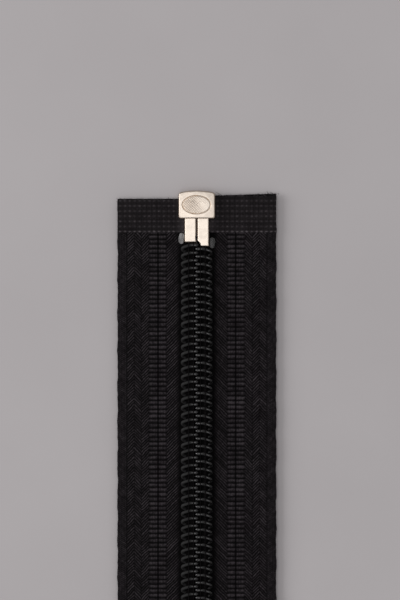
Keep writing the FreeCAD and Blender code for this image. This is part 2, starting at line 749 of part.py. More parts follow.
def build_slider_cover():
    """The cap over the lock: hollow below, with a window each side for the bail's axle."""
    body = new_body("slider_cover")
    rear = REAR + " - Sizes.cover_start"
    front = rear + " - Sizes.cover_length"
    cap = outline(body, "XY_Plane", "Sizes.wing_top", box_points(
        "-Sizes.cover_half", "Sizes.cover_half", front, rear))
    pad(body, cap, "Sizes.cover_top - Sizes.wing_top")
    wall = "Sizes.cover_wall"
    hollow = outline(body, "XY_Plane", "Sizes.wing_top", box_points(
        f"-Sizes.cover_half + {wall}", f"Sizes.cover_half - {wall}",
        front + f" + {wall}", rear + f" - {wall}"))
    pocket(body, hollow, f"Sizes.cover_top - Sizes.wing_top - {wall}")
    axle = REAR + " - Sizes.bail_place"
    window = outline(body, "XY_Plane", "Sizes.wing_top", box_points(
        "-Sizes.cover_half - 1", "Sizes.cover_half + 1",
        axle + " - Sizes.axle_window", axle + " + Sizes.axle_window"))
    pocket(body, window, "Sizes.bail_height + Sizes.bail_radius + Sizes.axle_room - Sizes.wing_top")
    half = size("cover_half") - 0.01
    rear_end = along(size("slider_front") - size("slider_length") + size("cover_start"))
    front_end = rear_end - size("cover_length")
    top_face = size("cover_top") - 0.01
    dress(body, "Fillet", "Sizes.cover_corner", lambda e: runs_along(e, "z") and abs(middle(e).x) > half
          and min(abs(middle(e).y - rear_end), abs(middle(e).y - front_end)) < 0.01)
    dress(body, "Fillet", "Sizes.cover_round", lambda e: middle(e).z > top_face)
    return body


def build_pawl():
    """The lock: an arm on a pivot, with a prong that drops through the wing between two coil legs."""
    body = new_body("lock_pawl")
    underside = "Sizes.pawl_height - Sizes.pawl_thick / 2"
    far_end = PRONG + " + Sizes.prong_deep"
    arm = outline(body, "XY_Plane", underside, box_points(
        "-Sizes.pawl_half", "Sizes.pawl_half", PIVOT, far_end))
    pad(body, arm, "Sizes.pawl_thick")
    leg = outline(body, "XY_Plane", underside, box_points(
        "-Sizes.pawl_place - Sizes.prong_half", "-Sizes.pawl_place + Sizes.prong_half",
        PRONG + " - Sizes.prong_deep", far_end))
    pad(body, leg, underside + " - Sizes.pawl_reach", reverse=True)
    roll = body.newObject("PartDesign::Pad", "pivot_roll")
    roll.Profile = across(body, PIVOT, "Sizes.pawl_height", "Sizes.pivot_radius")
    roll.Midplane = True
    roll.setExpression("Length", "2 * (Sizes.cover_half - Sizes.cover_wall) - 0.2")
    doc.recompute()
    return body


def build_spring():
    """The bowed leaf that holds the pawl down, seated under the roof of the cover."""
    pivot = along(size("slider_front") - size("slider_length") + size("pawl_pivot"))
    low = size("pawl_height") + size("leaf_low")
    high = size("cover_top") - size("cover_wall") - size("leaf_roof")
    thick, half = size("leaf_thick"), size("leaf_half")
    near, far = pivot + size("leaf_near"), pivot + size("leaf_far")
    centre = (near + far) / 2
    lower = Part.Arc(V(0, near, low), V(0, centre, high - thick), V(0, far, low))
    upper = Part.Arc(V(0, near, low + thick), V(0, centre, high), V(0, far, low + thick))
    tips = [Part.LineSegment(V(0, y, low), V(0, y, low + thick)).toShape() for y in (near, far)]
    rim = Part.Wire(Part.__sortEdges__([lower.toShape(), upper.toShape()] + tips))
    leaf = Part.Face(rim).extrude(V(2 * half, 0, 0)).translated(V(-half, 0, 0))
    labelled(leaf, "lock_spring")


def build_bail():
    """The wire link that passes under the cover and carries the pull tab."""
    axle = along(size("slider_front") - size("slider_length") + size("bail_place"))
    half, length, level = size("bail_half"), size("bail_length"), size("bail_height")
    corners = [
        V(0, axle, level), V(half, axle, level), V(half, axle + length, level),
        V(-half, axle + length, level), V(-half, axle, level), V(0, axle, level)]
    path = rounded_path(corners, [size("bail_bend")] * 4)
    labelled(round_tube(path, size("bail_radius")), "pull_bail")


def build_tab():
    """The stamped pull: an eye rolled round the bail, a plate that widens, and a long window.

    It is drawn with the eye at its own origin, and then laid on the chain by its placement.
    """
    body = new_body("pull_tab")
    neck, wide, length = "Sizes.tab_eye_half", "Sizes.tab_half", "Sizes.tab_length"
    plate = outline(body, "XY_Plane", "-Sizes.tab_thick / 2", both_ways([
        (neck, "0"), (neck, "Sizes.tab_neck"),
        (wide, "Sizes.tab_neck + Sizes.tab_shoulder"), (wide, length)]))
    pad(body, plate, "Sizes.tab_thick")
    dress(body, "Fillet", "Sizes.tab_round", lambda e: runs_along(e, "z") and middle(e).y > 1)
    half_thick = size("tab_thick") / 2 - 0.01
    dress(body, "Fillet", "Sizes.tab_edge", lambda e: abs(middle(e).z) > half_thick and middle(e).y > 0.1)
    eye = body.newObject("PartDesign::Pad", "eye_barrel")
    eye.Profile = across(body, "0", "0", "Sizes.tab_eye_radius")
    eye.Midplane = True
    eye.setExpression("Length", "2 * Sizes.tab_eye_half")
    doc.recompute()
    bore = body.newObject("PartDesign::Pocket", "eye_bore")
    bore.Profile = across(body, "0", "0", "Sizes.bail_radius + Sizes.eye_clear")
    bore.Midplane = True
    bore.setExpression("Length", "3 * Sizes.tab_half")
    doc.recompute()
    window = outline(body, "XY_Plane", "-Sizes.tab_thick", box_points(
        "-Sizes.tab_window_half", "Sizes.tab_window_half", "Sizes.tab_window",
        length + " - Sizes.tab_foot"))
    pocket(body, window, "2 * Sizes.tab_thick")
    in_window = size("tab_window_half") + 0.01
    dress(body, "Fillet", "Sizes.window_corner", lambda e: runs_along(e, "z")
          and abs(middle(e).x) < in_window and middle(e).y > 5)
    droop = FreeCAD.Rotation(V(1, 0, 0), -size("tab_droop"))
    eye_y = along(size("slider_front") - size("slider_length") + size("bail_place") - size("bail_length"))
    body.Placement = FreeCAD.Placement(V(0, eye_y, size("bail_height")), droop)


def build_all():
    build_stringers()
    for side in ("left", "right"):
        for face in ("front", "back"):
            build_patch(side, face)
        build_film_bead(side)
        build_top_stop(side)
    build_pin("retainer_pin", "left", "retainer_pin_end")
    build_pin("insertion_pin", "right", "insertion_pin_end")
    build_retainer_box()
    build_slider_body()
    build_slider_cover()
    build_pawl()
    build_spring()
    build_bail()
    build_tab()


build_all()
doc.recompute()

os.makedirs("parts", exist_ok=True)
finished = [o for o in doc.Objects if o.TypeId in (
    "PartDesign::Body", "Part::Feature", "Part::Ellipsoid")]
for item in doc.Objects:
    if "Invalid" in item.State or "Error" in item.State:
        raise RuntimeError(f"{item.Label} failed to compute")
for item in finished:
    shape = item.Shape
    if shape.isNull() or not shape.isValid() or not shape.Solids:
        raise RuntimeError(f"{item.Label} has no valid solid")
    shape.exportStep(f"parts/{item.Label}.step")
    print(f"{item.Label}: {len(shape.Solids)} solid, {shape.Volume:.2f} mm3")
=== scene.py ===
"""Looks of a separating coil zipper: woven tapes, glossy coils, stitching, ribbons, nickel end and slider.

Lengths are in millimetres and become metres where a mesh is made. Only studio() is in metres.
"Station" is the distance from the outer end of the retainer box towards the top of the zipper, and
"out" the distance from the centre line.
"""
import json
import math

import bpy
import numpy as np
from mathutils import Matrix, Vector


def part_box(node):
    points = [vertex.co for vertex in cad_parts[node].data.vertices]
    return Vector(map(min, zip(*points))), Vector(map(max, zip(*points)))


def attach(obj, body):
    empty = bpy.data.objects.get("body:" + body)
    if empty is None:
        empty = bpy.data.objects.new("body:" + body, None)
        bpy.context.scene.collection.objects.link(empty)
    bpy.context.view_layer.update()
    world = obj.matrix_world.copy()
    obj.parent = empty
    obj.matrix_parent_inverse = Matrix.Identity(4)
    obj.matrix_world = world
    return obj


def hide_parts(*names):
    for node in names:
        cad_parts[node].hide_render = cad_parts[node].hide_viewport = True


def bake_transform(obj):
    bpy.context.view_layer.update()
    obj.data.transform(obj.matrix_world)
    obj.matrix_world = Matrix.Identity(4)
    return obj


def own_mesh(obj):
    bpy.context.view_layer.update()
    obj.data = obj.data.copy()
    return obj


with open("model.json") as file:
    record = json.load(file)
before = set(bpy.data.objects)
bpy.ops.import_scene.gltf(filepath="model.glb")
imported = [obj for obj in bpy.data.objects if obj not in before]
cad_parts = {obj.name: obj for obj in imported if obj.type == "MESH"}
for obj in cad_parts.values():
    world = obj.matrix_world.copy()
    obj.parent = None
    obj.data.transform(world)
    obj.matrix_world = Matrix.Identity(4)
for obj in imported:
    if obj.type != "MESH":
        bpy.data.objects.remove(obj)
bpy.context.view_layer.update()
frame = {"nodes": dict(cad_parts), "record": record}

MM = 0.001
SIDES = {"left": -1, "right": 1}
EDGE_ANGLE = math.radians(35)       # metal faces that meet more steeply keep a sharp edge
BOX_EDGE_ANGLE = math.radians(40)


def corners(node):
    """The lowest and highest corner of a CAD node, in millimetres."""
    low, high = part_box(node)
    return np.array(low) / MM, np.array(high) / MM


BOX_LOW, BOX_HIGH = corners("retainer_box")
TAPE_LOW, TAPE_HIGH = corners("right_tape")
COIL_LOW, COIL_HIGH = corners("right_coil")
STOP_LOW = corners("right_top_stop")[0]
END = BOX_HIGH[1]
LENGTH = END - TAPE_LOW[1]

# The tapes
TAPE_GAP = 0.15
TAPE_HALF = 25.4
CUTS = {"left": (2.5, 2.5), "right": (1.66, 0.83)}   # station of the cut, inner and outer corner
RELIEF = 0.13                 # height of the yarns
TWILL = 0.98                  # one rib of the herringbone, along the tape
DASH = 1.47                   # one rib of the two ladder bands
RUNG = 0.83                   # one knot of a ladder band, across the tape
WARP, WEFT = 0.52, 0.49       # one yarn, across and along the tape
SELVEDGE_WARP, SELVEDGE_WEFT = 0.55, 0.62
CUT_WAVE, SELVEDGE_WAVE = 0.07, 0.17
CORNER_WEAR = 0.22            # how far the cut end's outer corner is worn back
SELVEDGE_ROLL = 0.12
FRAY_START, STUBS = 6.1, 34   # where the loose yarns of the cut end begin, and how many are short

# The ribbons
RIB, KNOT = 1.64, 1.56        # from one cross rib to the next, and from one knot on it to the next
LAST_RIB = 13.0               # station of the strong rib near the ribbon's end
RIB_HALF, LAST_RIB_HALF = 0.30, 0.35
RIBBON_WARP, RIBBON_WEFT = 0.52, 0.47
SMEAR_OUT, SMEAR_HALF = 4.3, 1.6    # the strip beside the pins that adhesive has smoothed

# The retainer box
BOX_CROWN = 0.7               # how far its end bows outwards
BOX_ROUND = 0.5               # radius of its upper edge
BOX_ROUND_BELOW = 0.3         # radius of its lower edge
CORNER_POWER = 18             # how square its corners are
OVAL_HALF = (4.5, 2.88)
OVAL_MIDDLE = (-0.14, END - 4.5)
KNURL = 0.58                  # from one cut of the knurl to the next
KNURL_LEAN = math.radians(45)
RIM_WIDTH = 0.16              # of the groove round the oval
RIM_DEPTH, PANEL_DEPTH, KNURL_DEPTH = 0.13, 0.04, 0.08
RIM_BAND = 0.26               # how far the fine rings reach past the oval
DOME_ACROSS, DOME_ALONG = 0.38, 0.22    # how far the face falls away towards its edges
FACE_SKIN = 0.03              # the face's middle lies this far below the CAD box's top
FACE_FLOOR = 4.5              # all of the box's face lies above this height
PAST_MOUTH = 0.5              # how far the cutters of its hollows stand out of its mouth
# Its hollows: half the width, the floor, the roof and the wall left at the end
PIN_CAVITY = (4.05, 1.0, 4.4, 1.0)
TAPE_SLITS = (7.0, 1.35, 2.45, 1.2)

# How each half swings aside around the slider
FLARE_START, FLARE_END, FLARE = 186.2, 200.2, 2.7
TAIL_SPREAD = 0.8

# The chain
PITCH = 2.42
TURNS = 74
FIRST_HEAD = {"left": 17.4, "right": 17.4 + PITCH / 2}
FILAMENT = 0.475              # half its thickness
HEAD_REACH = 0.72             # how far a head crosses the centre line
KNEE = 2.2                    # where a leg starts to lean
COIL_HALF = 5.1               # to the outside of the legs
LEG_LEAN = 0.31               # share of the pitch that a leg's outer end leans by
TURN_START, LOWER_KNEE = KNEE - 0.2, KNEE + 0.4     # along the lower leg, which leans from its knee on
HEAD_BEND, KNEE_BEND, HEEL_BEND, FOOT_BEND = 0.55, 2.2, 0.85, 1.2   # radii, in the order of a turn
HEAD_SPREAD = 0.30            # share by which the filament widens at its head
CORD_OUT, CORD_HALF, PLAIT = 2.2, 1.32, 0.9     # the cord's place, half its width, one plait's length
THREAD = 0.14                 # half of a thread's width
THREAD_LIFT = 0.03            # the stitches clear the coil by this much
STITCH_DROP = 0.95            # from the top of a stitch to its low point between two legs
STITCH_TOP, STITCH_FOOT, STITCH_BEND = 0.52, 0.78, 0.15     # half its run above and below, its bends
UNDER_RISE, UNDER_DROP = 0.07, 0.05     # how the bobbin threads wave about the CAD's middle height
FILAMENT_SIDES, THREAD_SIDES = 12, 8
ROWS = {"inner": 1.1, "outer": 2.65}


# Shapes ------------------------------------------------------------------------------------------

def flare(station):
    """How far each half stands aside at a station: two tangent arcs, then a slight spread."""
    station = np.asarray(station, float)
    run = FLARE_END - FLARE_START
    radius = (run ** 2 + FLARE ** 2) / (4 * FLARE)
    swing_in = radius - np.sqrt(radius ** 2 - np.clip(station - FLARE_START, 0, run / 2) ** 2)
    swing_out = radius - np.sqrt(radius ** 2 - np.clip(FLARE_END - station, 0, run / 2) ** 2)
    spread = TAIL_SPREAD * np.clip((station - FLARE_END) / (LENGTH - FLARE_END), 0, 1)
    return np.where(station < FLARE_START + run / 2, swing_in, FLARE - swing_out) + spread


def ridge(phase):
    """A row of rounded yarns: 0 in the grooves between them and 1 on their crowns, one per unit."""
    return np.abs(np.sin(np.pi * phase))


def yarns(phase, seed):
    """Ridges with narrow crowns, where some yarns lie higher than others."""
    count = np.floor(phase)
    share = np.mod(np.sin(count * 12.99 + seed) * 43.76, 1)
    return ridge(phase) ** 1.4 * (0.72 + 0.4 * share)


def step(value, edge, width):
    """0 below the edge and 1 above it, with a soft change of that width."""
    t = np.clip((value - edge) / width + 0.5, 0, 1)
    return t * t * (3 - 2 * t)


def wander(value, seed, size):
    """A slow, smooth, repeatable wobble between -1 and 1."""
    turns = np.random.default_rng(seed).uniform(0, 2 * np.pi, 3)
    parts = [np.sin(value / (size * share) + turn) for share, turn in zip((1.0, 0.47, 0.21), turns)]
    return parts[0] * 0.5 + parts[1] * 0.3 + parts[2] * 0.2


def new_piece(name, points, faces, material, lift=None):
    """A smooth-shaded mesh from points in millimetres, with `lift` as a point value for its material."""
    mesh = bpy.data.meshes.new(name)
    mesh.from_pydata((np.asarray(points, float) * MM).tolist(), [], faces)
    mesh.polygons.foreach_set("use_smooth", np.ones(len(mesh.polygons), bool))
    if lift is not None:
        layer = mesh.attributes.new("lift", "FLOAT", "POINT")
        layer.data.foreach_set("value", np.asarray(lift, np.float32).ravel())
    mesh.materials.append(material)
    obj = bpy.data.objects.new(name, mesh)
    bpy.context.scene.collection.objects.link(obj)
    return obj


def grid_faces(rows, columns, first=0, flip=False):
    """Quads of a grid of points stored row by row."""
    index = first + np.arange(rows * columns).reshape(rows, columns)
    quads = np.stack([index[:-1, :-1], index[:-1, 1:], index[1:, 1:], index[1:, :-1]], axis=-1)
    quads = quads.reshape(-1, 4)
    return (quads[:, ::-1] if flip else quads).tolist()


def slab(top, bottom, every, flip):
    """Points and faces of a closed sheet. The underside keeps one point in `every` of the top's grid."""
    rows, columns = top.shape[:2]
    under = bottom[::every, ::every]
    low_rows, low_columns = under.shape[:2]
    first = rows * columns
    faces = grid_faces(rows, columns, 0, flip) + grid_faces(low_rows, low_columns, first, not flip)
    upper = np.arange(first).reshape(rows, columns)
    lower = first + np.arange(low_rows * low_columns).reshape(low_rows, low_columns)
    sides = [(upper[0], lower[0], True), (upper[-1], lower[-1], False),
             (upper[:, 0], lower[:, 0], False), (upper[:, -1], lower[:, -1], True)]
    for above, below, turned in sides:
        for i in range(len(below) - 1):
            rim = [int(n) for n in above[i * every:(i + 1) * every + 1]]
            rim += [int(below[i + 1]), int(below[i])]
            faces.append(rim[::-1] if turned == flip else rim)
    return np.concatenate([top.reshape(-1, 3), under.reshape(-1, 3)]), faces


def tube(path, across, upright, sides, side_axis=(0, 1, 0)):
    """A closed bar along `path`: `across` is half its size along side_axis, `upright` half the other."""
    path = np.asarray(path, float)
    heading = np.gradient(path, axis=0)
    heading /= np.linalg.norm(heading, axis=1, keepdims=True)
    axis = np.asarray(side_axis, float)
    beside = axis - (heading @ axis)[:, None] * heading
    beside /= np.linalg.norm(beside, axis=1, keepdims=True)
    above = np.cross(heading, beside)
    turn = np.linspace(0, 2 * np.pi, sides, endpoint=False)
    across = np.broadcast_to(across, len(path))[:, None, None]
    upright = np.broadcast_to(upright, len(path))[:, None, None]
    rings = (path[:, None] + across * np.cos(turn)[None, :, None] * beside[:, None]
             + upright * np.sin(turn)[None, :, None] * above[:, None])
    index = np.arange(len(path) * sides).reshape(len(path), sides)
    after = np.roll(index, -1, axis=1)
    faces = np.stack([index[:-1], after[:-1], after[1:], index[1:]], axis=-1).reshape(-1, 4).tolist()
    faces += [index[0][::-1].tolist(), index[-1].tolist()]
    return rings.reshape(-1, 3), faces


def loft(rings):
    """Points and faces of a closed shell over rings of points."""
    index = np.arange(len(rings) * len(rings[0])).reshape(len(rings), len(rings[0]))
    after = np.roll(index, -1, axis=1)
    faces = np.stack([index[:-1], index[1:], after[1:], after[:-1]], axis=-1).reshape(-1, 4).tolist()
    faces += [index[0].tolist(), index[-1][::-1].tolist()]
    return np.concatenate(rings), faces


def joined(parts):
    """Several (points, faces) as one."""
    points, faces, first = [], [], 0
    for part_points, part_faces in parts:
        points.append(part_points)
        faces += [[n + first for n in face] for face in part_faces]
        first += len(part_points)
    return np.concatenate(points), faces


def rounded(route, radii, arc_points=4, run=1.0):
    """Points along straight runs through `route`, with each inner corner rounded to its radius."""
    route = [np.asarray(p, float) for p in route]
    points = [route[0]]
    for before, corner, after, radius in zip(route, route[1:], route[2:], radii):
        into = (corner - before) / np.linalg.norm(corner - before)
        out = (after - corner) / np.linalg.norm(after - corner)
        half = math.acos(np.clip(into @ out, -1, 1)) / 2
        reach = radius * math.tan(half)
        start = corner - into * reach
        points += straight(points[-1], start, run)
        bend = out - into
        bend /= np.linalg.norm(bend)
        centre = corner + bend * radius / math.cos(half)
        for angle in np.linspace(-half, half, arc_points):
            spoke = -bend * math.cos(angle) + (into + out) / np.linalg.norm(into + out) * math.sin(angle)
            points.append(centre + spoke * radius)
    points += straight(points[-1], route[-1], run) + [route[-1]]
    return points


def straight(start, end, run):
    """Points between two others, about `run` apart, without the two themselves."""
    count = int(np.linalg.norm(end - start) / run)
    return [start + (end - start) * i / (count + 1) for i in range(1, count + 1)]


# Materials ---------------------------------------------------------------------------------------

def new_material(name):
    """A material with its shader, and a function that adds and links a node."""
    material = bpy.data.materials.new(name)
    material.use_nodes = True
    tree = material.node_tree
    shader = tree.nodes["Principled BSDF"]

    def node(kind, inputs=None, **settings):
        made = tree.nodes.new(kind)
        for key, value in settings.items():
            setattr(made, key, value)
        for key, value in (inputs or {}).items():
            if isinstance(value, bpy.types.NodeSocket):
                tree.links.new(value, made.inputs[key])
            else:
                made.inputs[key].default_value = value
        return made

    return material, shader, tree, node


def ramp(node, value, stops):
    """A colour ramp from a value. Each stop is (place, (r, g, b))."""
    made = node("ShaderNodeValToRGB", {"Fac": value})
    while len(made.color_ramp.elements) < len(stops):
        made.color_ramp.elements.new(0.5)
    for element, (place, colour) in zip(made.color_ramp.elements, stops):
        element.position = place
        element.color = (*colour, 1)
    return made.outputs["Color"]


def remap(node, value, before, after):
    """A value moved from the range `before` to the range `after`, and held at its ends."""
    return node("ShaderNodeMapRange", {
        "Value": value, "From Min": before[0], "From Max": before[1],
        "To Min": after[0], "To Max": after[1]}).outputs["Result"]


def combined(node, operation, first, second):
    """Two values put together by a math operation."""
    return node("ShaderNodeMath", {0: first, 1: second}, operation=operation).outputs["Value"]


def size_of(node, value):
    """A value without its sign."""
    return node("ShaderNodeMath", {0: value}, operation="ABSOLUTE").outputs["Value"]


def place(node, scale=(1, 1, 1)):
    """Object coordinates in millimetres, stretched by `scale`."""
    coordinates = node("ShaderNodeTexCoord").outputs["Object"]
    mapped = node("ShaderNodeMapping", {"Vector": coordinates, "Scale": [s / MM for s in scale]})
    return mapped.outputs["Vector"]


def cloth(name, groove, crown, roughness, fibre_scale, bump):
    """Yarn, with painted shade: its colour follows the point value "lift", dark between the threads and
    lighter on their crowns, with fine fibres along each thread.
    """
    material, shader, tree, node = new_material(name)
    lift = node("ShaderNodeAttribute", attribute_name="lift").outputs["Fac"]
    fibres = node("ShaderNodeTexNoise", {
        "Vector": place(node, fibre_scale), "Scale": 1.0, "Detail": 4.0, "Roughness": 0.65})
    clouds = node("ShaderNodeTexNoise", {"Vector": place(node), "Scale": 0.3, "Detail": 3.0})
    grain = remap(node, fibres.outputs["Fac"], (0.3, 0.7), (0.6, 1.4))
    drift = remap(node, clouds.outputs["Fac"], (0.3, 0.7), (0.82, 1.18))
    mixed = combined(node, "MULTIPLY", combined(node, "MULTIPLY", lift, grain), drift)
    middle = [0.7 * a + 0.3 * b for a, b in zip(groove, crown)]
    # Painted shade: where the relief is low, between the yarns, the colour turns to the dark first colour.
    colour = ramp(node, mixed, [(0.15, groove), (0.55, middle), (1.0, crown)])
    tree.links.new(colour, shader.inputs["Base Color"])
    shader.inputs["Roughness"].default_value = roughness
    shader.inputs["Specular IOR Level"].default_value = 0.03
    relief = node("ShaderNodeBump", {
        "Height": fibres.outputs["Fac"], "Strength": bump, "Distance": 0.1 * MM})
    tree.links.new(relief.outputs["Normal"], shader.inputs["Normal"])
    return material


def nylon(name):
    """Black moulded filament: polished at the heads, dusty low down and between the stitches.

    A strip on the right, from 2.9 mm out, is worn shiny again.
    """
    material, shader, tree, node = new_material(name)
    marks = node("ShaderNodeTexNoise", {
        "Vector": place(node, (0.6, 5, 5)), "Scale": 1.0, "Detail": 3.0})
    colour = ramp(node, marks.outputs["Fac"], [
        (0.3, (0.0012, 0.0009, 0.001)), (0.75, (0.0036, 0.003, 0.0033))])
    tree.links.new(colour, shader.inputs["Base Color"])
    spot = node("ShaderNodeSeparateXYZ", {"Vector": place(node)})
    dust = remap(node, size_of(node, spot.outputs["X"]), (1.3, 2.0), (0.0, 0.6))
    worn = remap(node, spot.outputs["X"], (2.9, 3.4), (0.0, 0.58))
    low_down = remap(node, spot.outputs["Z"], (COIL_HIGH[2] - 0.5, COIL_HIGH[2] - 1.2), (0.0, 0.4))
    gloss = remap(node, marks.outputs["Fac"], (0.3, 0.75), (0.12, 0.22))
    rough = combined(node, "ADD", gloss, dust)
    rough = combined(node, "SUBTRACT", rough, worn)
    rough = combined(node, "ADD", rough, low_down)
    tree.links.new(rough, shader.inputs["Roughness"])
    shader.inputs["IOR"].default_value = 1.5
    relief = node("ShaderNodeBump", {
        "Height": marks.outputs["Fac"], "Strength": 0.12, "Distance": 0.05 * MM})
    tree.links.new(relief.outputs["Normal"], shader.inputs["Normal"])
    return material


def plated(name, bright, stain_and_side_shade, roughness, side_shade=0.75):
    """Warm plating: cloudy gloss, small pits, fine rubbing marks, brown in the grooves, and brown painted
    shade on the sides.

    A point value marks the grooves. Surfaces that don't face up or down get the same brown, as painted
    shade.
    """
    material, shader, tree, node = new_material(name)
    shader.inputs["Metallic"].default_value = 1.0
    clouds = node("ShaderNodeTexNoise", {"Vector": place(node), "Scale": 0.55, "Detail": 5.0,
                                         "Roughness": 0.6})
    pits = node("ShaderNodeTexNoise", {"Vector": place(node), "Scale": 4.5, "Detail": 2.0})
    rubs = node("ShaderNodeTexNoise", {"Vector": place(node, (9, 0.7, 2)), "Scale": 1.0, "Detail": 2.0})
    tone = ramp(node, clouds.outputs["Fac"], [
        (0.30, [0.84 * c for c in bright]), (0.52, bright), (0.75, [min(1, 1.06 * c) for c in bright])])
    spots = remap(node, pits.outputs["Fac"], (0.64, 0.74), (0.0, 0.6))
    # Painted shade: faces that tilt away from up and down are mixed towards the brown.
    facing = node("ShaderNodeSeparateXYZ", {"Vector": node("ShaderNodeTexCoord").outputs["Normal"]})
    sides = remap(node, size_of(node, facing.outputs["Z"]), (0.93, 0.55), (0.0, side_shade))
    groove_darkening = node("ShaderNodeAttribute", attribute_name="groove_darkening").outputs["Fac"]
    share = combined(node, "MAXIMUM", combined(node, "MAXIMUM", spots, groove_darkening), sides)
    colour = node("ShaderNodeMix", {"Factor": share}, data_type="RGBA")
    tree.links.new(tone, colour.inputs["A"])
    colour.inputs["B"].default_value = (*stain_and_side_shade, 1)
    tree.links.new(colour.outputs["Result"], shader.inputs["Base Color"])
    gloss = remap(node, clouds.outputs["Fac"], (0.25, 0.8), (roughness - 0.06, roughness + 0.12))
    tree.links.new(gloss, shader.inputs["Roughness"])
    height = combined(node, "ADD", rubs.outputs["Fac"], pits.outputs["Fac"])
    relief = node("ShaderNodeBump", {"Height": height, "Strength": 0.2, "Distance": 0.06 * MM})
    tree.links.new(relief.outputs["Normal"], shader.inputs["Normal"])
    return material


def clear_film(name, grey, shine):
    """A smear of half-clear adhesive with brighter streaks along it."""
    material, shader, tree, node = new_material(name)
    streaks = node("ShaderNodeTexNoise", {
        "Vector": place(node, (3.2, 0.5, 1)), "Scale": 1.0, "Detail": 3.0})
    colour = ramp(node, streaks.outputs["Fac"], [
        (0.35, [0.35 * grey] * 3), (0.55, [grey, 0.96 * grey, 0.97 * grey]), (0.7, [1.7 * grey] * 3)])
    tree.links.new(colour, shader.inputs["Base Color"])
    shader.inputs["Roughness"].default_value = 0.32
    shader.inputs["Specular IOR Level"].default_value = shine
    shader.inputs["Alpha"].default_value = 0.85
    relief = node("ShaderNodeBump", {
        "Height": streaks.outputs["Fac"], "Strength": 0.4, "Distance": 0.1 * MM})
    tree.links.new(relief.outputs["Normal"], shader.inputs["Normal"])
    return material


def table_top(name):
    """The pale grey surface that the zipper lies on."""
    material, shader, tree, node = new_material(name)
    mottle = node("ShaderNodeTexNoise", {"Vector": place(node), "Scale": 0.02, "Detail": 3.0})
    colour = ramp(node, mottle.outputs["Fac"], [
        (0.3, (0.402, 0.380, 0.385)), (0.7, (0.418, 0.396, 0.401))])
    tree.links.new(colour, shader.inputs["Base Color"])
    shader.inputs["Roughness"].default_value = 0.9
    shader.inputs["Specular IOR Level"].default_value = 0.1
    return material


# Each cloth's first colour is painted shade for the grooves between the yarns, the second the colour on
# their crowns.
TAPE_CLOTH = cloth("tape_cloth", (0.0012, 0.001, 0.0011), (0.037, 0.0315, 0.035), 0.75, (3, 3, 3), 0.5)
RIBBON = cloth("ribbon_cloth", (0.0048, 0.0040, 0.0043), (0.075, 0.065, 0.070), 0.65, (2, 5, 3), 0.4)
STITCHING = cloth("stitching", (0.0012, 0.001, 0.0011), (0.008, 0.007, 0.0075), 0.85, (5, 5, 5), 0.6)
NYLON = nylon("coil_nylon")
# The second colour of each plating is the brown of pits and grooves, and the painted shade on the sides.
NICKEL = plated("nickel_plate", (0.635, 0.563, 0.492), (0.36, 0.23, 0.13), 0.42)
SPRING = plated("spring_plate", (0.42, 0.40, 0.38), (0.16, 0.12, 0.08), 0.3)


# Woven parts -------------------------------------------------------------------------------------

def weave(x, y, out):
    """Height of the tape's face, 0 to 1: herringbone, two ladder bands with a groove between, selvedge,
    all lower beside the coil; the cloth paints the low places as shade.
    """
    sway = 0.12 * np.sin(y * 0.55 + 1.7 * np.sin(x * 0.35)) + 0.08 * np.sin(y * 1.9 + x * 0.8)
    stretch = 0.8 + 0.2 * ridge(x / WARP + 0.5 * np.floor(y / WEFT))
    rising = yarns((y - x + sway) / TWILL, 1.0) * stretch
    falling = yarns((y + x + sway) / TWILL, 2.0) * stretch
    ladder = yarns((y + 0.5 * sway) / DASH, 3.0) * (0.62 + 0.38 * ridge(x / RUNG)) \
        + 0.22 * ridge(y / DASH * 2 + 0.25)
    checks = y / SELVEDGE_WEFT + 0.5 * np.floor(x / SELVEDGE_WARP)
    plain = yarns(checks, 4.0) * 0.6 + 0.3 * ridge(x / SELVEDGE_WARP)
    bands = ((0.0, rising), (9.7, ladder), (12.2, 0.35 * ladder), (12.6, ladder), (15.3, rising),
             (17.8, falling), (20.0, rising), (22.3, plain))
    height = bands[0][1]
    for start, pattern in bands[1:]:
        share = step(out, start, 0.25)
        height = height * (1 - share) + pattern * share
    seams = np.min([np.abs(out - start) for start, _ in bands[1:]], axis=0)
    height = height * (1 - 0.35 * np.exp(-(seams / 0.16) ** 2))
    uneven = 0.86 + 0.14 * np.sin(x * 2.9 + 1.3 * np.sin(y * 0.8)) * np.sin(y * 2.3 + x)
    # Painted shadow beside the coil: within about 6 mm of the centre line the height drops to 0.3 of
    # itself, and the colour with it, except past the end of the chain.
    past_chain = step(END - y, END - STOP_LOW[1], 3.0)
    painted_coil_shadow = 0.3 + 0.7 * np.maximum(step(out, 6.0, 1.6), past_chain)
    return np.clip(height * uneven * painted_coil_shadow, 0, 1)


def loose_yarn(start, end, sag, thickness=0.085):
    """A broken yarn that stands out from a cut edge, as a thin tapering tube."""
    start, end = np.array(start, float), np.array(end, float)
    share = np.linspace(0, 1, 9)[:, None]
    path = start + (end - start) * share + np.array([0, 0, 1.0]) * sag * share * (1 - share) * 4
    path[:, 0] += 0.12 * sag * np.sin(share[:, 0] * 5)
    heading = np.abs(end - start)
    side_axis = (0, 1, 0) if heading[0] > heading[1] else (1, 0, 0)
    taper = thickness * (1 - 0.6 * share[:, 0])
    return tube(path, taper, taper, 6, side_axis)


